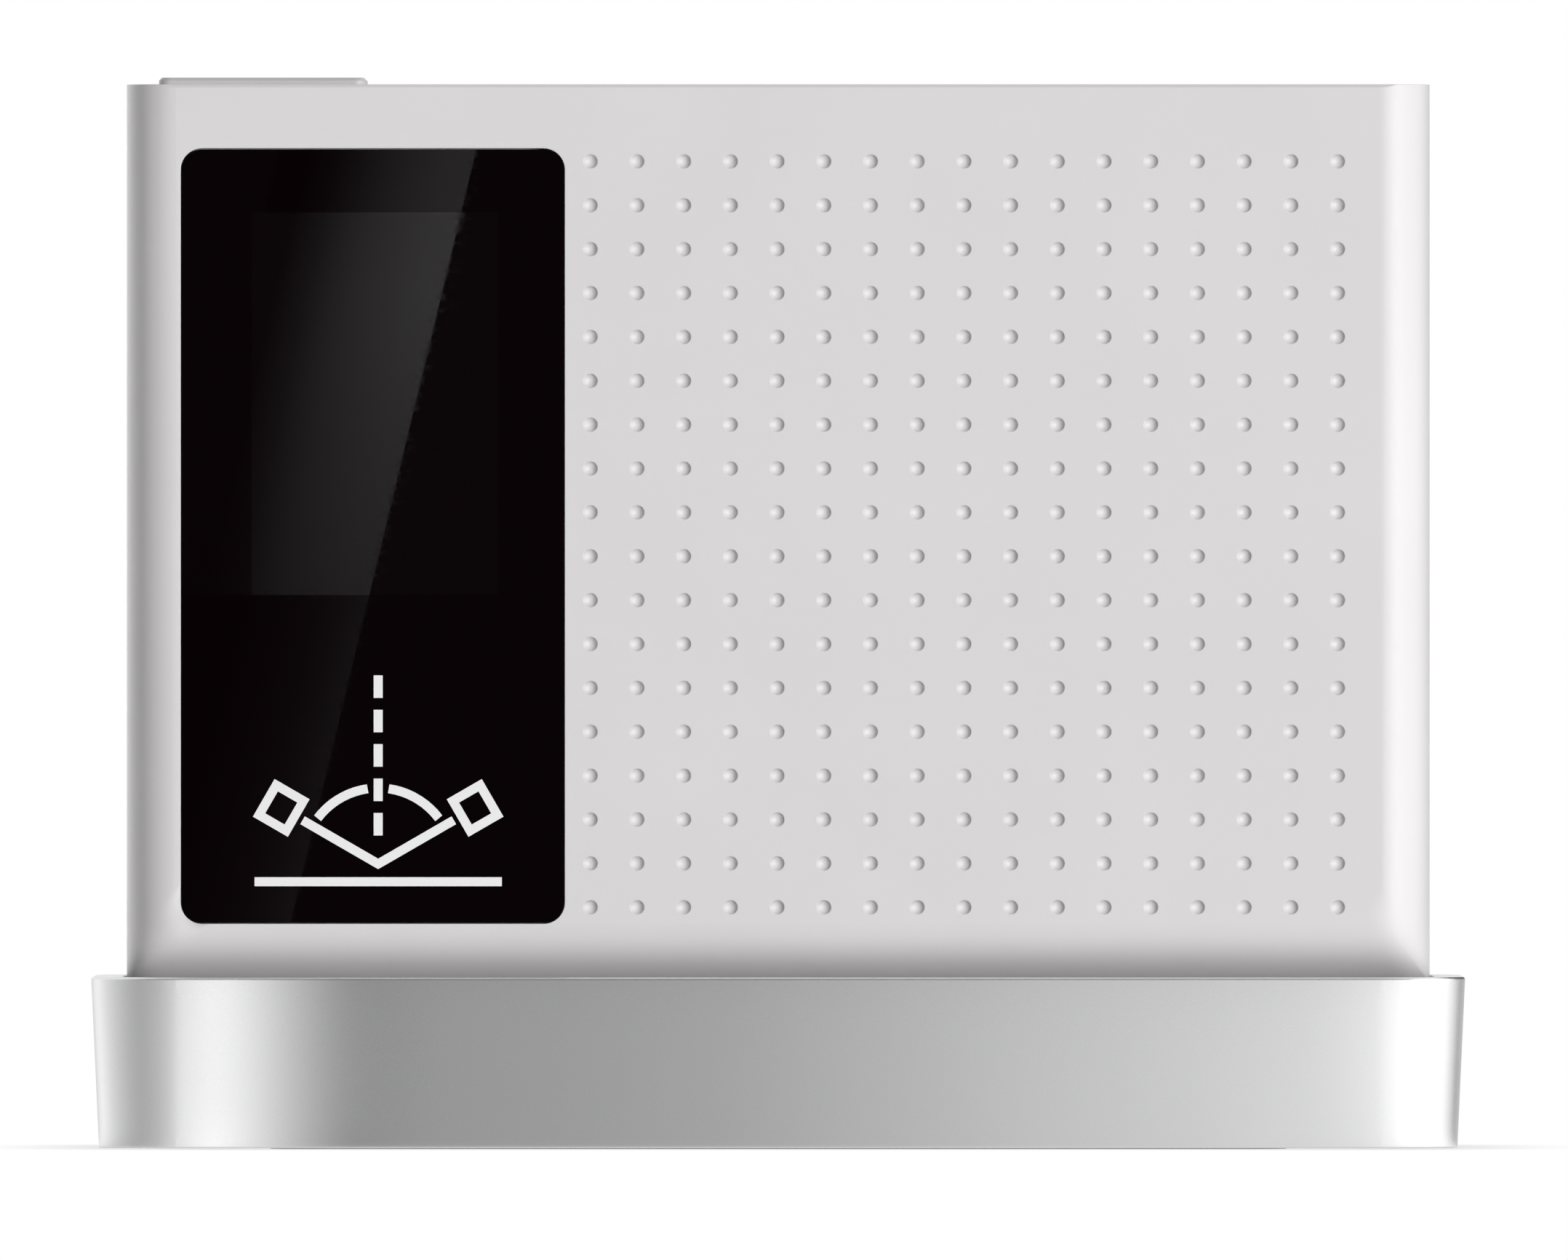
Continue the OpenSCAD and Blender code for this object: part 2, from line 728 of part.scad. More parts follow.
module end_plug(side, bore, bore_l) {
    length = tube_end - slit_at - slit_t;
    on_beam(side, slit_at + slit_t) difference() {
        union() {
            cylinder(d = lens_bore - 2 * slip, h = length + 0.5);
            translate([0, 0, length]) cylinder(d = tube_d - 0.6, h = 2);
        }
        translate([0, 0, -1]) cylinder(d = bore, h = bore_l + 1);
        translate([0, 0, -1]) cylinder(d = 3.6, h = length + 4);
    }
}

module source_lens() { color("lightblue") lens(-1); }
module receiver_lens() { color("lightblue") lens(1); }
module source_ring() { color("black") lens_ring(-1); }
module receiver_ring() { color("black") lens_ring(1); }
module source_slit() { color("black") slit(-1, 0.8); }
module receiver_slit() { color("black") slit(1, 1.8); }
module lamp_holder() { color("black") end_plug(-1, 5.1, 6.5); }
module detector_holder() { color("black") end_plug(1, 8.3, 5.5); }

module lamp() {
    color("white") on_beam(-1, slit_at + slit_t) {
        translate([0, 0, 3]) cylinder(d = 5, h = 3.5);
        translate([0, 0, 3]) sphere(d = 4.9);
    }
}

module detector() {
    color("silver") on_beam(1, slit_at + slit_t + 1.5) cylinder(d = 8.2, h = 4);
}

// Two wires from the back of a lamp or detector out to where its flat lead starts
lead_end = tube_end + 3;
lead_x = lead_end * sin(beam_angle);
lead_z = z_deck + lead_end * cos(beam_angle);
lead_t = 0.8;

module lead_wires(side, s) {
    for (y = [-1.1, 1.1]) on_beam(side, s) translate([0, y, 0]) cylinder(d = 1, h = lead_end - s);
}

module lamp_leads() {
    color("red") {
        lead_wires(-1, slit_at + slit_t + 6.5);
        box([-lead_x - lead_t / 2, -1.7, lead_z - 0.8], [-lead_x + lead_t / 2, 1.7, lamp_plug[1] + 1.2]);
        box([-lead_x - lead_t / 2, y_plug, lamp_plug[1] - 1.2],
            [-lead_x + lead_t / 2, 0, lamp_plug[1] + 1.2]);
    }
}

module detector_leads() {
    z = lead_z + 5.8;
    y0 = -3.2;
    y1 = -2.3;
    x = detector_plug[0] - 1.4;
    color("gray") {
        lead_wires(1, slit_at + slit_t + 5.5);
        box([lead_x - lead_t / 2, y0, lead_z - 0.8], [lead_x + lead_t / 2, 1.7, lead_z + 0.8]);
        box([lead_x - lead_t / 2, y0, lead_z - 0.8], [lead_x + lead_t / 2, y1, z + lead_t]);
        box([x, y0, z], [lead_x, y1, z + lead_t]);
        box([x, y_plug, min(z, detector_plug[1] - 1.2)],
            [x + lead_t, y1, max(z + lead_t, detector_plug[1] + 1.2)]);
    }
}

// Battery

module battery_cell() {
    x0 = tray_x0 + 4.2;
    color("goldenrod") translate([x0, y_cell, tray_z]) rotate([0, 90, 0]) {
        cylinder(d = cell_d, h = cell_l);
        cylinder(d = 5.5, h = cell_l + cell_nub);
    }
}

module contact_plus() {
    x0 = tray_x0 + 4.2 + cell_l + cell_nub;
    color("silver") {
        box([tray_x1 - 0.4, y_cell - 5, tray_z - 5], [tray_x1, y_cell + 5, tray_z + 5]);
        box([x0, y_cell - 2, tray_z - 3], [tray_x1, y_cell + 2, tray_z + 3]);
    }
}

module contact_minus() {
    x1 = tray_x0 + 4.2;
    color("silver") {
        box([tray_x0, y_cell - 5, tray_z - 5], [tray_x0 + 0.4, y_cell + 5, tray_z + 5]);
        for (k = [0 : 3]) translate([tray_x0 + 0.4 + k * (x1 - tray_x0 - 0.4) / 4, y_cell, tray_z])
            rotate([0, 90, 0]) difference() {
                translate([0, 0, -0.05]) cylinder(d = 10 - k * 1.2, h = (x1 - tray_x0 - 0.4) / 4 + 0.05);
                translate([0, 0, -1]) cylinder(d = 7 - k * 1.2, h = 5);
            }
    }
}

// Flat lead that leaves a face, runs to the left and turns to a plug on the main board
module flat_lead(start, run, plug_x, z, h) {
    t = 0.6;
    x = start[0];
    translate([0, 0, z - h / 2]) linear_extrude(h)
        polygon([start, start + [t, 0], [x + t, start[1] - run - t], [plug_x, start[1] - run - t],
                 [plug_x, y_plug], [plug_x - t, y_plug], [plug_x - t, start[1] - run], [x, start[1] - run]]);
}

module battery_leads() {
    y = y_tray - tray_wall;
    color("red") flat_lead([tray_x1 - 6, y], 0.8, battery_plug[0] + 1, battery_plug[1] + 1.1, 1.4);
    color("black") flat_lead([tray_x0 + 6, y], 0.8, battery_plug[0] + 1, battery_plug[1] - 1.1, 1.4);
}

module port_leads() {
    color("gray") flat_lead([port_board_x0 + 4.6, y_port_board], 4.5, port_plug[0] + 1, port_plug[1], 3);
}

module switch_leads() {
    z = z_switch_board - switch_board_t;
    color("gray") for (k = [-1, 1])
        wire([[key_x + k - 3, -4.8, z], [key_x + k - 3, -4.8, z - 2.5],
              [switch_plug[0] + k, y_plug + 1.2, switch_plug[1]],
              [switch_plug[0] + k, y_plug, switch_plug[1]]], 1);
}

module case_screws() {
    color("silver") for (p = case_spots) difference() {
        back_screw(p, case_screw_d, case_head_d, case_head_h, y_head, y_head + 8);
        translate([p[0], y_head + 1, p[1]]) rotate([-90, 0, 0]) cylinder(d = 2.2, h = 2, $fn = 6);
    }
}

module battery_cover() {
    x = (tray_x0 + tray_x1) / 2;
    w = tray_l + 2 * cover_lap - 2 * fit;
    h = tray_h + 2 * cover_lap - 2 * fit;
    color("gainsboro") difference() {
        front_plate(x, tray_z, w, h, 1.4, y_out - cover_t, cover_t);
        for (k = [0 : 4]) box([tray_x1 - 5 - k * 1.6, y_out - 0.5, tray_z - 4],
                              [tray_x1 - 4.2 - k * 1.6, y_out + 1, tray_z + 4]);
    }
}

holder_shell();
holder_base();
base_mat();
tile_pad();
calibration_tile();
holder_screws();
front_shell();
rear_shell();
window_tape();
display_window();
display_panel();
display_frame();
display_ribbon();
main_board();
board_chips();
board_connectors();
board_screws();
switch_board();
switch_body();
switch_screws();
port_board();
port_socket();
port_screws();
sole_plate();
sole_screws();
optics_block();
source_lens();
source_ring();
source_slit();
lamp_holder();
lamp();
receiver_lens();
receiver_ring();
receiver_slit();
detector_holder();
detector();
lamp_leads();
detector_leads();
battery_cell();
contact_plus();
contact_minus();
battery_leads();
port_leads();
switch_leads();
case_screws();
battery_cover();
measure_key();
switch_plunger();
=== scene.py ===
# Gloss meter standing in its calibration holder: looks, light and camera.
import json
import math

import bpy
import bmesh
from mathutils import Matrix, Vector


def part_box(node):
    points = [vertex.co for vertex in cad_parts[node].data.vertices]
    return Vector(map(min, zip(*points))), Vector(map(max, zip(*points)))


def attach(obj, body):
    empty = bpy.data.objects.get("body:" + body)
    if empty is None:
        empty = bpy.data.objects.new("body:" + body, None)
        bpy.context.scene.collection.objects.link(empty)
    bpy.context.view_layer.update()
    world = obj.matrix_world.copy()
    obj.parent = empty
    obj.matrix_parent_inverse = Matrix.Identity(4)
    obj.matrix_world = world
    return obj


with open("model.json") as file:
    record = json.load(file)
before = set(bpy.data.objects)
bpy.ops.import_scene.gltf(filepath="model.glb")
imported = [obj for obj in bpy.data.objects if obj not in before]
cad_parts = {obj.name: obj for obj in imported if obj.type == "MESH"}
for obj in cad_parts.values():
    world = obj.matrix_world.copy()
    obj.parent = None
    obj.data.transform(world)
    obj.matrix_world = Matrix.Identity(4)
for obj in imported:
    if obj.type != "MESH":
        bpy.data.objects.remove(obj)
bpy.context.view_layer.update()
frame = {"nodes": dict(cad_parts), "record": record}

nodes = frame["nodes"]
scene = bpy.context.scene
MM = 0.001
WHITE = (1, 1, 1, 1)
BLACK = (0, 0, 0, 1)

# Photograph: its width, its scale, and the pixels of the object's middle, its foot and the view's centre
PHOTO_W = 2156
PX_PER_MM = 16.3
MIDDLE_X_PX = 1070
FOOT_Y_PX = 1578
FOOT_Z_MM = 0.4
VIEW_CENTRE_PX = (1078, 866)

# The screen behind the window, in the photograph
SCREEN_LEFT_PX = 346
SCREEN_RIGHT_PX = 685
SCREEN_LOW_PX = 818
SCREEN_HIGH_PX = 292

# Places on the object that the looks are measured from
shell_low, shell_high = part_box("front_shell")
holder_low, holder_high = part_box("holder_shell")
window_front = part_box("display_window")[0].y
port_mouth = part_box("port_socket")[1].x
BODY_HALF_W = shell_high.x
BODY_LOW = shell_low.z
BODY_FRONT = -18 * MM
HOLDER_R = 7 * MM


def photo_x(px):
    """Place across the object, in metres, of a pixel column of the photograph."""
    return (px - MIDDLE_X_PX) / PX_PER_MM * MM


def photo_z(py):
    """Height on the object, in metres, of a pixel row of the photograph."""
    return (FOOT_Z_MM + (FOOT_Y_PX - py) / PX_PER_MM) * MM


def linear(r, g, b):
    """sRGB levels from 0 to 255 as linear colour."""
    out = []
    for v in (r, g, b):
        v = v / 255
        out.append(v / 12.92 if v <= 0.04045 else ((v + 0.055) / 1.055) ** 2.4)
    return (*out, 1.0)


def put(name, data):
    """New object in the scene."""
    obj = bpy.data.objects.new(name, data)
    scene.collection.objects.link(obj)
    return obj


# Shader node helpers

NOISE_LOW = 0.3
NOISE_HIGH = 0.7
EDGE_SAMPLES = 6


def add(tree, kind, **values):
    """New shader node with the given settings."""
    node = tree.nodes.new(kind)
    for key, value in values.items():
        setattr(node, key, value)
    return node


def feed(tree, socket, value):
    """Link a node's input to another node's output, or set it to a plain value."""
    if isinstance(value, bpy.types.NodeSocket):
        tree.links.new(value, socket)
    else:
        socket.default_value = value


def calculated(tree, operation, *values):
    """Result of a maths node on one or two values."""
    node = add(tree, "ShaderNodeMath", operation=operation)
    for socket, value in zip(node.inputs, values):
        feed(tree, socket, value)
    return node.outputs["Value"]


def product(tree, first, *others):
    """All the values multiplied."""
    for other in others:
        first = calculated(tree, "MULTIPLY", first, other)
    return first


def dot(tree, a, b):
    """Dot product of two vectors."""
    node = add(tree, "ShaderNodeVectorMath", operation="DOT_PRODUCT")
    feed(tree, node.inputs[0], a)
    feed(tree, node.inputs[1], b)
    return node.outputs["Value"]


def mapped(tree, value, low, high, start=NOISE_LOW, end=NOISE_HIGH, curve="LINEAR"):
    """Low to high as the value goes from start to end, which are those of a noise if not given."""
    node = add(tree, "ShaderNodeMapRange", interpolation_type=curve)
    node.inputs["From Min"].default_value = start
    node.inputs["From Max"].default_value = end
    node.inputs["To Min"].default_value = low
    node.inputs["To Max"].default_value = high
    tree.links.new(value, node.inputs["Value"])
    return node.outputs["Result"]


def tinted(tree, factor, a, b):
    """Colour a where the factor is 0, b where it is 1."""
    mix = add(tree, "ShaderNodeMix", data_type="RGBA")
    feed(tree, mix.inputs["A"], a)
    feed(tree, mix.inputs["B"], b)
    tree.links.new(factor, mix.inputs["Factor"])
    return mix.outputs["Result"]


def shader_mix(tree, factor, first, second):
    """The first shader where the factor is 0, the second where it is 1."""
    mix = add(tree, "ShaderNodeMixShader")
    tree.links.new(factor, mix.inputs["Fac"])
    tree.links.new(first, mix.inputs[1])
    tree.links.new(second, mix.inputs[2])
    return mix.outputs["Shader"]


def by_reflection(tree, path):
    """1 for rays that come from a gloss or through glass."""
    return calculated(tree, "MAXIMUM", path.outputs["Is Glossy Ray"], path.outputs["Is Transmission Ray"])


def object_place(tree):
    """Point on the object, in metres; the nodes' objects all sit at the origin."""
    return add(tree, "ShaderNodeTexCoord").outputs["Object"]


def object_noise(tree, scale, detail=2):
    """Noise in object space; scale is in features per metre."""
    noise = add(tree, "ShaderNodeTexNoise")
    noise.inputs["Scale"].default_value = scale
    noise.inputs["Detail"].default_value = detail
    tree.links.new(object_place(tree), noise.inputs["Vector"])
    return noise.outputs["Fac"]


def axis_step(tree, axis, start, end, both_sides=False):
    """0 to 1 as the object coordinate, or its size without sign, goes from start to end."""
    split = add(tree, "ShaderNodeSeparateXYZ")
    tree.links.new(object_place(tree), split.inputs["Vector"])
    value = split.outputs[axis]
    if both_sides:
        value = calculated(tree, "ABSOLUTE", value)
    return mapped(tree, value, 0, 1, start, end)


def facing_out(tree):
    """1 on faces turned away from the object's middle, 0 on faces turned towards it."""
    face = add(tree, "ShaderNodeNewGeometry")
    reach = dot(tree, object_place(tree), face.outputs["True Normal"])
    return mapped(tree, reach, 0, 1, 0, 1 * MM)


def bumped(tree, bsdf, height, strength, distance, edge=0.0):
    """Bump from a height, over edges that the shading rounds by the edge radius."""
    bump = add(tree, "ShaderNodeBump")
    bump.inputs["Strength"].default_value = strength
    bump.inputs["Distance"].default_value = distance
    tree.links.new(height, bump.inputs["Height"])
    if edge:
        bevel = add(tree, "ShaderNodeBevel", samples=EDGE_SAMPLES, name="edge")
        bevel.inputs["Radius"].default_value = edge
        tree.links.new(bevel.outputs["Normal"], bump.inputs["Normal"])
    tree.links.new(bump.outputs["Normal"], bsdf.inputs["Normal"])


# Materials

DRIFT_SCALE = 60
DRIFT_DETAIL = 3
RELIEF_DEPTH = 0.02 * MM
CASE_EDGE = 0.12 * MM
METAL_EDGE = 0.2 * MM
NEAR_BLACK = (0.02, 0.02, 0.021, 1)


def new_material(name):
    """New material with its node tree and main shader."""
    mat = bpy.data.materials.new(name)
    mat.use_nodes = True
    tree = mat.node_tree
    return mat, tree, tree.nodes["Principled BSDF"]


def grained(name, color, spread, roughness, grain, relief, metallic=0.0, edge=0.0, vary=0.05):
    """Surface with a fine grain: colour and roughness drift a little and the grain stands as bump."""
    mat, tree, bsdf = new_material(name)
    drift = object_noise(tree, DRIFT_SCALE, DRIFT_DETAIL)
    dark = tuple(c * (1 - spread) for c in color[:3]) + (1.0,)
    light = tuple(min(1.0, c * (1 + spread)) for c in color[:3]) + (1.0,)
    tree.links.new(tinted(tree, mapped(tree, drift, 0, 1), dark, light), bsdf.inputs["Base Color"])
    fine = object_noise(tree, grain)
    tree.links.new(mapped(tree, fine, roughness - vary, roughness + vary), bsdf.inputs["Roughness"])
    bumped(tree, bsdf, fine, relief, RELIEF_DEPTH, edge)
    bsdf.inputs["Metallic"].default_value = metallic
    return mat


# Finish of each material slot with a grain: grain in features per metre, relief as the strength of the bump
FINISHES = {
    "case_plastic": dict(color=linear(219, 217, 218), spread=0.012, roughness=0.5, grain=5200, relief=0.1,
                         edge=CASE_EDGE),
    "key_plastic": dict(color=linear(188, 187, 188), spread=0.012, roughness=0.5, grain=5200, relief=0.1,
                        edge=0.15 * MM),
    "satin_metal": dict(color=(0.78, 0.78, 0.785, 1), spread=0.01, roughness=0.3, grain=9000, relief=0.03,
                        metallic=1.0, edge=METAL_EDGE, vary=0.03),
    "black_metal": dict(color=(0.02, 0.02, 0.022, 1), spread=0.1, roughness=0.42, grain=6000, relief=0.08,
                        metallic=0.6, edge=METAL_EDGE),
    "dark_plastic": dict(color=NEAR_BLACK, spread=0.1, roughness=0.5, grain=5000, relief=0.12,
                         edge=0.15 * MM),
    "grey_rubber": dict(color=(0.62, 0.62, 0.62, 1), spread=0.04, roughness=0.75, grain=3500, relief=0.25),
    "black_rubber": dict(color=(0.018, 0.018, 0.018, 1), spread=0.15, roughness=0.8, grain=3500,
                         relief=0.3),
    "steel": dict(color=(0.62, 0.62, 0.63, 1), spread=0.02, roughness=0.28, grain=7000, relief=0.05,
                  metallic=1.0, edge=0.1 * MM),
    "board_green": dict(color=(0.015, 0.12, 0.05, 1), spread=0.15, roughness=0.4, grain=2500, relief=0.1),
    "connector_white": dict(color=(0.75, 0.72, 0.65, 1), spread=0.03, roughness=0.5, grain=5000,
                            relief=0.1),
    "flex_amber": dict(color=(0.45, 0.16, 0.02, 1), spread=0.08, roughness=0.35, grain=3000, relief=0.05),
    "cell_label": dict(color=(0.05, 0.055, 0.07, 1), spread=0.1, roughness=0.35, grain=3000, relief=0.04),
    "lead_grey": dict(color=(0.22, 0.22, 0.23, 1), spread=0.06, roughness=0.55, grain=4000, relief=0.1),
    "lamp_plastic": dict(color=(0.9, 0.88, 0.8, 1), spread=0.02, roughness=0.12, grain=4000, relief=0.02),
}

# Where the heel's corner is blended, from not at all to fully: from the side, the foot and the middle
HEEL_FROM_SIDE = (7 * MM, 4.5 * MM)
HEEL_ABOVE_FOOT = (9 * MM, 6.5 * MM)
HEEL_OFF_MIDDLE = (8 * MM, 11 * MM)
HEEL_RADIUS = 3.5 * MM

# Where the holder's wall is blended, from not at all to fully: above its foot and below its rim
WALL_ABOVE_FOOT = (0.6 * MM, 1.4 * MM)
WALL_BELOW_RIM = (0.7 * MM, 1.5 * MM)
WALL_RADIUS = 1.3 * MM

# Painted shade in joints and hollows: how far off another piece counts, how open the joint is, and the
# level where it is closed
JOINT_REACH = 14 * MM
JOINT_OPEN = (0.3, 0.8)
JOINT_LEVEL = 0.72
JOINT_SAMPLES = 8


def soften_edge(mat, mask, crisp, soft):
    """Edge radius in the shading: crisp where the mask is 0, soft where it is 1."""
    tree = mat.node_tree
    tree.links.new(mapped(tree, mask, crisp, soft, 0, 1), tree.nodes["edge"].inputs["Radius"])


def round_heel_corners(mat):
    """The moulded corner where the round heel meets the round side edge has no sharp seam."""
    tree = mat.node_tree
    side = axis_step(tree, "X", *(BODY_HALF_W - d for d in HEEL_FROM_SIDE), both_sides=True)
    low = axis_step(tree, "Z", *(BODY_LOW + d for d in HEEL_ABOVE_FOOT))
    outer = axis_step(tree, "Y", *HEEL_OFF_MIDDLE, both_sides=True)
    soften_edge(mat, product(tree, side, low, outer), CASE_EDGE, HEEL_RADIUS)


def round_holder_wall(mat):
    """The holder's wall turns its corners with no seam, while its rim and foot stay crisp."""
    tree = mat.node_tree
    above_foot = axis_step(tree, "Z", *(holder_low.z + d for d in WALL_ABOVE_FOOT))
    below_rim = axis_step(tree, "Z", *(holder_high.z - d for d in WALL_BELOW_RIM))
    soften_edge(mat, product(tree, above_foot, below_rim, facing_out(tree)), METAL_EDGE, WALL_RADIUS)


def painted_joint_shade(mat):
    """Painted shade: darken the plastic's colour where another piece stands close, as in the joint above
    the holder, and in hollows such as the dimples.
    """
    tree = mat.node_tree
    base = tree.nodes["Principled BSDF"].inputs["Base Color"]
    # Ambient occlusion darkens the base colour here: painted shade in joints and hollows
    near = add(tree, "ShaderNodeAmbientOcclusion", samples=JOINT_SAMPLES)
    near.inputs["Distance"].default_value = JOINT_REACH
    tree.links.new(tree.nodes["edge"].outputs["Normal"], near.inputs["Normal"])
    shade = add(tree, "ShaderNodeVectorMath", operation="SCALE")
    tree.links.new(base.links[0].from_socket, shade.inputs[0])
    tree.links.new(mapped(tree, near.outputs["AO"], JOINT_LEVEL, 1.0, *JOINT_OPEN), shade.inputs["Scale"])
    tree.links.new(shade.outputs["Vector"], base)


# Polished sheets: waves and fine grain in features per metre, and how much the roughness varies
WAVE_SCALE = 45
WAVE_STRENGTH = 0.02
POLISH_SCALE = 1800
POLISH_VARY = 0.02


def glossy_black(name, color, roughness):
    """Polished dark sheet with the faint waviness of moulded gloss."""
    mat, tree, bsdf = new_material(name)
    bsdf.inputs["Base Color"].default_value = color
    wave = object_noise(tree, WAVE_SCALE, detail=1)
    fine = object_noise(tree, POLISH_SCALE)
    tree.links.new(mapped(tree, fine, roughness, roughness + POLISH_VARY), bsdf.inputs["Roughness"])
    bumped(tree, bsdf, wave, WAVE_STRENGTH, RELIEF_DEPTH)
    return mat


WINDOW_BLACK = (0.0024, 0.0007, 0.0012, 1)
WINDOW_SPECULAR = 0.24
SCREEN_SPECULAR = 0.6
SCREEN_BLUR = 0.03 * MM


def between(tree, axis, low, high):
    """1 between two places along an axis, 0 outside them."""
    return product(tree, axis_step(tree, axis, low - SCREEN_BLUR, low + SCREEN_BLUR),
                   axis_step(tree, axis, high + SCREEN_BLUR, high - SCREEN_BLUR))


def window_material():
    """Black window; the screen behind it shows as a paler rectangle where something bright is mirrored."""
    mat = glossy_black("window_gloss", WINDOW_BLACK, 0.0)
    tree = mat.node_tree
    across = between(tree, "X", photo_x(SCREEN_LEFT_PX), photo_x(SCREEN_RIGHT_PX))
    up = between(tree, "Z", photo_z(SCREEN_LOW_PX), photo_z(SCREEN_HIGH_PX))
    gloss = mapped(tree, product(tree, across, up), WINDOW_SPECULAR, SCREEN_SPECULAR, 0, 1)
    tree.links.new(gloss, tree.nodes["Principled BSDF"].inputs["Specular IOR Level"])
    return mat


LENS_TINT = (0.95, 0.98, 1.0, 1)
LENS_IOR = 1.52
LENS_GRAIN = 3000


def lens_glass():
    """Clear lens with a trace of polish marks."""
    mat, tree, bsdf = new_material("lens_glass")
    bsdf.inputs["Base Color"].default_value = LENS_TINT
    bsdf.inputs["Transmission Weight"].default_value = 1.0
    bsdf.inputs["IOR"].default_value = LENS_IOR
    fine = object_noise(tree, LENS_GRAIN)
    tree.links.new(mapped(tree, fine, 0.0, POLISH_VARY), bsdf.inputs["Roughness"])
    return mat


# How far behind the port's mouth the steel begins and is full
PORT_STEEL = (0.5 * MM, 0.3 * MM)


def socket_material():
    """Port: a steel mouth around the dark plastic that carries the contacts."""
    mat = grained("socket_steel", **dict(FINISHES["steel"], metallic=0.0))
    tree = mat.node_tree
    bsdf = tree.nodes["Principled BSDF"]
    base = bsdf.inputs["Base Color"]
    near = axis_step(tree, "X", *(port_mouth - d for d in PORT_STEEL))
    tree.links.new(near, bsdf.inputs["Metallic"])
    tree.links.new(tinted(tree, near, NEAR_BLACK, base.links[0].from_socket), base)
    return mat


by_slot = {name: grained(name, **finish) for name, finish in FINISHES.items()}
round_heel_corners(by_slot["case_plastic"])
# Painted shade in the case's joints and hollows
painted_joint_shade(by_slot["case_plastic"])
round_holder_wall(by_slot["satin_metal"])
by_slot["window_gloss"] = window_material()
by_slot["black_glass"] = glossy_black("black_glass", (0.004, 0.004, 0.0045, 1), roughness=0.01)
by_slot["lens_glass"] = lens_glass()
print_white = grained("print_white", color=(0.86, 0.86, 0.86, 1), spread=0.01, roughness=0.45, grain=6000,
                      relief=0.03)

for part in frame["record"]["subparts"]:
    node = nodes[part["node"]]
    node.data.materials.clear()
    node.data.materials.append(by_slot[part["material_slot"]])
nodes["port_socket"].data.materials[0] = socket_material()


# Printed line drawing on the window: two beams meeting on a surface

MARK_LEFT_PX = 350
MARK_RIGHT_PX = 690
MARK_BASE_PX = 1212
LINE_W = 0.76 * MM
PRINT_T = 0.02 * MM
BEAM_ANGLE = math.radians(60)
BEAM_LIFT = 1.5 * MM
BOX_L = 3.4 * MM
BOX_W = 2.9 * MM
BOX_GAP = 0.75 * MM
DASHES = 5
DASH_START = 2.4 * MM
DASH_PITCH = 2.9 * MM
DASH_L = 1.9 * MM
ARC_R = 6.4 * MM
ARC_DEGREES = range(8, 54, 5)
SHARPEST_MITRE = 0.3


def stroke(bm, points, closed):
    """Flat printed line along (x, z) points on the window, with mitred turns."""
    count = len(points)
    y_front = window_front - PRINT_T
    rings = []
    for i, point in enumerate(points):
        here = Vector(point)
        before = here - Vector(points[i - 1]) if closed or i > 0 else None
        after = Vector(points[(i + 1) % count]) - here if closed or i < count - 1 else None
        first = (before or after).normalized()
        second = (after or before).normalized()
        normal = Vector((-first.y, first.x))
        side = (normal + Vector((-second.y, second.x))).normalized()
        reach = LINE_W / 2 / max(SHARPEST_MITRE, side.dot(normal))
        left = here + side * reach
        right = here - side * reach
        corners = ((left, y_front), (right, y_front), (right, window_front), (left, window_front))
        rings.append([bm.verts.new((place.x, y, place.y)) for place, y in corners])
    for i in range(count if closed else count - 1):
        a = rings[i]
        b = rings[(i + 1) % count]
        for k in range(4):
            n = (k + 1) % 4
            bm.faces.new((a[k], a[n], b[n], b[k]))
    if not closed:
        bm.faces.new(rings[0][::-1])
        bm.faces.new(rings[-1])


def mark_lines():
    """Lines of the drawing, each with whether it is closed: surface, beams, boxes, dashes and arc."""
    left = photo_x(MARK_LEFT_PX)
    right = photo_x(MARK_RIGHT_PX)
    base = photo_z(MARK_BASE_PX)
    middle = (left + right) / 2
    foot = base + BEAM_LIFT
    along = Vector((math.sin(BEAM_ANGLE), math.cos(BEAM_ANGLE)))
    across = Vector((-along.y, along.x))
    ray = ((right - left) / 2 - along.y * BOX_W / 2 - LINE_W / 2) / along.x - BOX_L

    def at(side, offset):
        return (middle + side * offset.x, foot + offset.y)

    lines = [([(left, base), (right, base)], False),
             ([at(-1, along * ray), (middle, foot), at(1, along * ray)], False)]
    near = ray + BOX_GAP
    far = ray + BOX_L
    for side in (-1, 1):
        corners = [(near, -1), (far, -1), (far, 1), (near, 1)]
        lines.append(([at(side, along * s + across * t * BOX_W / 2) for s, t in corners], True))
    for k in range(DASHES):
        low = foot + DASH_START + DASH_PITCH * k
        lines.append(([(middle, low), (middle, low + DASH_L)], False))
    turns = [math.radians(a) for a in ARC_DEGREES]
    for side in (-1, 1):
        lines.append(([at(side, Vector((math.sin(t), math.cos(t))) * ARC_R) for t in turns], False))
    return lines


def beam_mark():
    """Light going from a lamp down to a surface and up to a detector, with the angle marked."""
    bm = bmesh.new()
    for points, closed in mark_lines():
        stroke(bm, points, closed)
    bmesh.ops.recalc_face_normals(bm, faces=bm.faces)
    mesh = bpy.data.meshes.new("beam_mark")
    bm.to_mesh(mesh)
    bm.free()
    mesh.materials.append(print_white)
    obj = put("beam_mark", mesh)
    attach(obj, "meter")


beam_mark()


# Stage: a floor just under the holder's lower edge, because the photograph shows no gap at the mat

FLOOR_Z = 0.3 * MM
FLOOR_SIZE = 1.6
FLOOR_GREY = (0.55, 0.55, 0.55, 1)
# Painted contact shadow on the floor's glow: its reach, the occlusion over which it fades, its darkest
# level and its samples
CONTACT_REACH = 13 * MM
CONTACT_OPEN = (0.45, 0.97)
CONTACT_LEVEL = 0.78
CONTACT_SAMPLES = 12


def bare_tree(owner, output_kind):
    """Emptied node tree of a material or world, and the surface input of its new output."""
    owner.use_nodes = True
    tree = owner.node_tree
    tree.nodes.clear()
    return tree, add(tree, output_kind).inputs["Surface"]


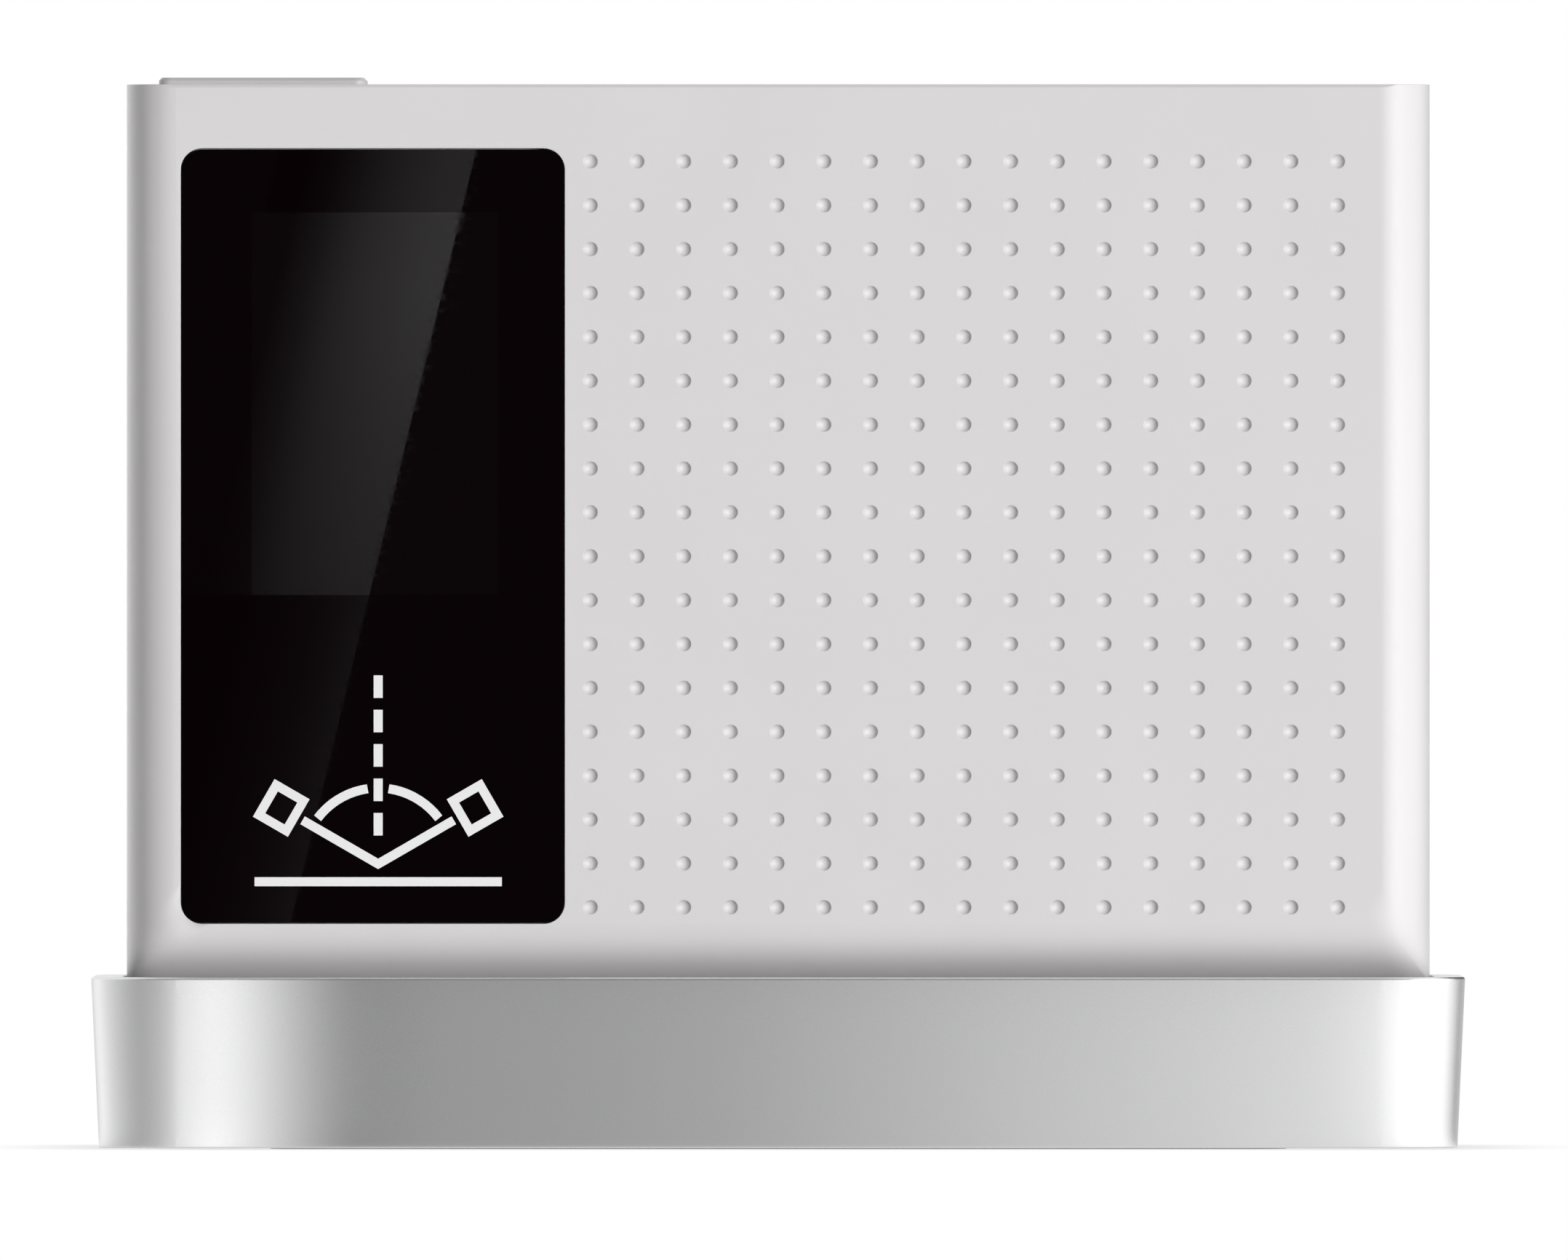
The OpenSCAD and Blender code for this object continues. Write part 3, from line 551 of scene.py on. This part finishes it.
def emission(tree, color, strength=1.0):
    """Light of a colour that is given by a socket."""
    glow = add(tree, "ShaderNodeEmission")
    glow.inputs["Strength"].default_value = strength
    tree.links.new(color, glow.inputs["Color"])
    return glow.outputs["Emission"]


def floor_material():
    """Pale floor that shows white to the camera, with a painted soft shadow near the object; clear when
    seen from below.
    """
    mat = bpy.data.materials.new("floor_white")
    tree, surface = bare_tree(mat, "ShaderNodeOutputMaterial")
    diffuse = add(tree, "ShaderNodeBsdfDiffuse")
    diffuse.inputs["Color"].default_value = FLOOR_GREY
    # Ambient occlusion darkens the white glow near the object: a painted shadow
    contact = add(tree, "ShaderNodeAmbientOcclusion", samples=CONTACT_SAMPLES)
    contact.inputs["Distance"].default_value = CONTACT_REACH
    shade = mapped(tree, contact.outputs["AO"], CONTACT_LEVEL, 1.0, *CONTACT_OPEN)
    glow = emission(tree, tinted(tree, shade, BLACK, WHITE))
    path = add(tree, "ShaderNodeLightPath")
    seen = calculated(tree, "MAXIMUM", by_reflection(tree, path), path.outputs["Is Camera Ray"])
    above = shader_mix(tree, seen, diffuse.outputs["BSDF"], glow)
    side = add(tree, "ShaderNodeNewGeometry")
    clear = add(tree, "ShaderNodeBsdfTransparent")
    tree.links.new(shader_mix(tree, side.outputs["Backfacing"], above, clear.outputs["BSDF"]), surface)
    return mat


def build_floor():
    """Square floor just above the rest plane."""
    half = FLOOR_SIZE / 2
    mesh = bpy.data.meshes.new("floor")
    corners = [(-half, -half, 0), (half, -half, 0), (half, half, 0), (-half, half, 0)]
    mesh.from_pydata(corners, [], [(0, 1, 2, 3)])
    mesh.materials.append(floor_material())
    floor = put("floor", mesh)
    floor.location = (0, 0, FLOOR_Z)


build_floor()


# Camera: the photograph looks straight at the front from far away

CAMERA_DISTANCE = 4.5
SENSOR_W = 36
CLIP_START = 0.05
CLIP_END = 20

camera_data = bpy.data.cameras.new("camera")
camera_data.sensor_fit = "HORIZONTAL"
camera_data.sensor_width = SENSOR_W
camera_data.lens = SENSOR_W * CAMERA_DISTANCE / (PHOTO_W / PX_PER_MM * MM)
camera_data.clip_start = CLIP_START
camera_data.clip_end = CLIP_END
camera = put("camera", camera_data)
camera.location = (photo_x(VIEW_CENTRE_PX[0]), BODY_FRONT - CAMERA_DISTANCE, photo_z(VIEW_CENTRE_PX[1]))
camera.rotation_euler = (math.radians(90), 0, 0)
scene.camera = camera


# Reflector cards, seen only in reflections

EVEN = [(0.0, 1.0), (1.0, 1.0)]


def ramp(tree, value, stops):
    """Brightness along a value: stops are (place, level) pairs."""
    node = add(tree, "ShaderNodeValToRGB")
    marks = node.color_ramp.elements
    while len(marks) < len(stops):
        marks.new(1.0)
    for mark, (place, level) in zip(marks, stops):
        mark.position = place
        mark.color = (level, level, level, 1)
    tree.links.new(value, node.inputs["Fac"])
    return node.outputs["Color"]


def glow_material(name, strength, across, up):
    """Reflector card with brightness varying across it and up it."""
    mat = bpy.data.materials.new(name)
    tree, surface = bare_tree(mat, "ShaderNodeOutputMaterial")
    coord = add(tree, "ShaderNodeTexCoord")
    split = add(tree, "ShaderNodeSeparateXYZ")
    tree.links.new(coord.outputs["UV"], split.inputs["Vector"])
    mix = add(tree, "ShaderNodeVectorMath", operation="MULTIPLY")
    tree.links.new(ramp(tree, split.outputs["X"], across), mix.inputs[0])
    tree.links.new(ramp(tree, split.outputs["Y"], up), mix.inputs[1])
    tree.links.new(emission(tree, mix.outputs["Vector"], strength), surface)
    return mat


def lengths_along(points):
    """Length of a line of points up to each of them."""
    sums = [0.0]
    for a, b in zip(points, points[1:]):
        sums.append(sums[-1] + (Vector(b) - Vector(a)).length)
    return sums


def card(name, rows, strength, across=EVEN, up=EVEN):
    """Reflector of rows of points from left to right, the lowest row first, and its levels."""
    count = len(rows[0])
    faces = [(r * count + k, r * count + k + 1, (r + 1) * count + k + 1, (r + 1) * count + k)
             for r in range(len(rows) - 1) for k in range(count - 1)]
    mesh = bpy.data.meshes.new(name)
    mesh.from_pydata([point for row in rows for point in row], [], faces)
    mesh.materials.append(glow_material(name + "_glow", strength, across, up))
    sums = lengths_along(rows[-1])
    places = mesh.uv_layers.new(name="card")
    for loop, place in zip(mesh.loops, places.data):
        row, k = divmod(loop.vertex_index, count)
        place.uv = (sums[k] / sums[-1], row / (len(rows) - 1))
    obj = put(name, mesh)
    obj.visible_camera = False
    obj.visible_diffuse = False
    obj.visible_shadow = False


# Window reflection: a card in front of the window with a slanted right edge, brightest along that edge

REFLECTION_Y = -0.6
SLANT_TOP_PX = (666, 160)
SLANT_LOW_PX = (387, 1320)
SLANT_CARD_W_PX = 270

# The card is in three bands, seen below the screen, on it and above it: strength, then levels across and up
BANDS = {
    "below": (SLANT_LOW_PX[1], SCREEN_LOW_PX, 0.3,
              [(0.35, 0.0), (0.53, 0.1), (0.75, 0.3), (0.86, 0.53), (1.0, 1.0)],
              [(0.0, 0.87), (1.0, 1.0)]),
    "screen": (SCREEN_LOW_PX, SCREEN_HIGH_PX, 0.68,
               [(0.15, 0.05), (0.32, 0.21), (0.54, 0.55), (0.65, 0.68), (0.87, 0.91), (1.0, 1.0)],
               [(0.0, 0.44), (0.22, 0.56), (0.41, 0.675), (0.6, 0.83), (0.8, 0.975), (1.0, 1.0)]),
    "above": (SCREEN_HIGH_PX, SLANT_TOP_PX[1], 0.95,
              [(0.15, 0.0), (0.3, 0.075), (0.42, 0.24), (0.64, 0.59), (0.86, 0.9), (1.0, 1.0)],
              EVEN),
}


def reflected(px, py):
    """Place on the card that the camera sees mirrored at a pixel of the window."""
    spread = 1 + (BODY_FRONT - REFLECTION_Y) / CAMERA_DISTANCE
    x = camera.location.x + (photo_x(px) - camera.location.x) * spread
    z = camera.location.z + (photo_z(py) - camera.location.z) * spread
    return (x, REFLECTION_Y, z)


def slant_row(py):
    """Left and right end of the card at one height."""
    share = (SLANT_LOW_PX[1] - py) / (SLANT_LOW_PX[1] - SLANT_TOP_PX[1])
    right = SLANT_LOW_PX[0] + share * (SLANT_TOP_PX[0] - SLANT_LOW_PX[0])
    return [reflected(right - SLANT_CARD_W_PX, py), reflected(right, py)]


for band, (low_px, high_px, *levels) in BANDS.items():
    card("window_card_" + band, [slant_row(low_px), slant_row(high_px)], *levels)


# Holder reflection: a low card all round the holder, so that its bands stand upright on the metal

CARD_START = 0.2 * MM
CARD_GAP = 12 * MM
CARD_FOOT = FLOOR_Z + 0.04 * MM
CARD_TOP = 17 * MM
CORNER_STEPS = 12

# Each corner on the way round: the angle it starts at, and its sides in x and y
CORNERS = ((-180, -1, 1), (-90, -1, -1), (0, 1, -1), (90, 1, 1))

# Brightness along the card, by millimetres from the middle of the front
HOLDER_LEVELS = (
    (-189, 0.7), (-118, 0.7), (-104, 0.95), (-90, 1.18), (-80, 0.84), (-71, 0.58), (-65, 0.47),
    (-56, 0.62), (-50.8, 0.93), (-48, 1.4), (-45.4, 1.1), (-41, 0.63), (-36.5, 0.32), (-28.8, 0.39),
    (-16.6, 0.42), (-4.3, 0.47), (8, 0.556), (20.2, 0.65), (32.5, 0.74), (44.8, 0.84), (49, 0.93),
    (51, 1.06), (57, 1.28), (78, 1.35), (84, 1.0), (92, 0.35), (110, 0.6), (189, 0.7),
)


def around_holder(offset, z):
    """Points round the holder at one distance from its wall: from the middle of the back, past its left."""
    middle_x = holder_high.x - HOLDER_R
    middle_y = holder_high.y - HOLDER_R
    reach = HOLDER_R + offset
    points = [(0, middle_y + reach, z)]
    for first, side_x, side_y in CORNERS:
        for k in range(CORNER_STEPS + 1):
            turn = math.radians(first + 90 * k / CORNER_STEPS)
            x = side_x * middle_x + reach * math.sin(turn)
            y = side_y * middle_y - reach * math.cos(turn)
            points.append((x, y, z))
    points.append(points[0])
    return points


def holder_card():
    """Card that starts on the floor at the holder's foot and turns up a little way off."""
    rows = [around_holder(CARD_START, CARD_FOOT), around_holder(CARD_GAP, CARD_FOOT),
            around_holder(CARD_GAP, CARD_TOP)]
    length = lengths_along(rows[-1])[-1]
    brightest = max(level for _, level in HOLDER_LEVELS)
    stops = [(0.5 + x * MM / length, level / brightest) for x, level in HOLDER_LEVELS]
    card("holder_card", rows, brightest, stops)


holder_card()


# Right side reflection: an upright card that brightens the body's right edge, and a dark one behind it

def upright_card(name, near, far, height, strength):
    """Even card that stands on the rest plane between two (x, y) points."""
    card(name, [[(*near, z), (*far, z)] for z in (0, height)], strength)


upright_card("right_card", near=(0.16, -0.11), far=(0.17, 0.03), height=0.1, strength=3.0)
upright_card("right_flag", near=(0.17, 0.035), far=(0.075, 0.3), height=0.15, strength=0.08)


# Lamps

AIM = Vector((0, 0, 0.045))


def area_light(name, power, size, azimuth, elevation, distance, mirrored=True):
    """Softbox. Azimuth 0 is in front of the display, and grows towards its right."""
    data = bpy.data.lights.new(name, "AREA")
    data.shape = "RECTANGLE"
    data.size = size[0]
    data.size_y = size[1]
    data.energy = power
    a = math.radians(azimuth)
    e = math.radians(elevation)
    away = Vector((math.sin(a) * math.cos(e), -math.cos(a) * math.cos(e), math.sin(e)))
    obj = put(name, data)
    obj.location = AIM + away * distance
    obj.rotation_euler = away.to_track_quat("Z", "Y").to_euler()
    obj.visible_glossy = mirrored
    return obj


def light_nodes(lamp, names, state):
    """Keep a lamp to the named nodes, or keep it off them."""
    group = bpy.data.collections.new("lit_by_" + lamp.name)
    for name in names:
        group.objects.link(nodes[name])
    for item in group.collection_objects:
        item.light_linking.link_state = state
    lamp.light_linking.receiver_collection = group


key_light = area_light("key", power=116.0, size=(1.5, 0.45), azimuth=36.5, elevation=4, distance=3.6)
light_nodes(key_light, ("holder_shell",), "EXCLUDE")
area_light("rim_left", power=11.5, size=(0.2, 0.6), azimuth=-130, elevation=5, distance=1.0, mirrored=False)
area_light("back", power=4.0, size=(0.6, 0.6), azimuth=160, elevation=30, distance=1.2, mirrored=False)
top_light = area_light("top", power=2.8, size=(0.6, 0.6), azimuth=180, elevation=60, distance=1.2,
                       mirrored=False)
light_nodes(top_light, ("front_shell", "rear_shell", "measure_key", "battery_cover"), "INCLUDE")


# Surround

AMBIENT = 0.22
TO_CAMERA = (0, -1, 0)
DARK_LEVEL = 0.03
DARK_START = -0.2
DARK_END = math.cos(math.radians(12))


def background(tree, strength):
    """White surround of a strength that is plain or given by a socket."""
    node = add(tree, "ShaderNodeBackground")
    node.inputs["Color"].default_value = WHITE
    feed(tree, node.inputs["Strength"], strength)
    return node.outputs["Background"]


def build_world():
    """Studio surround: white to the camera and in reflections, dark behind the camera, dim as a light."""
    world = bpy.data.worlds.new("studio")
    scene.world = world
    tree, surface = bare_tree(world, "ShaderNodeOutputWorld")
    direction = add(tree, "ShaderNodeTexCoord").outputs["Generated"]
    ahead = dot(tree, direction, TO_CAMERA)
    mirrored = mapped(tree, ahead, 1.0, DARK_LEVEL, DARK_START, DARK_END, "SMOOTHSTEP")
    path = add(tree, "ShaderNodeLightPath")
    lit = shader_mix(tree, by_reflection(tree, path), background(tree, AMBIENT), background(tree, mirrored))
    seen = shader_mix(tree, path.outputs["Is Camera Ray"], lit, background(tree, 1.0))
    tree.links.new(seen, surface)


build_world()
scene.view_settings.view_transform = "Standard"

bpy.context.view_layer.update()
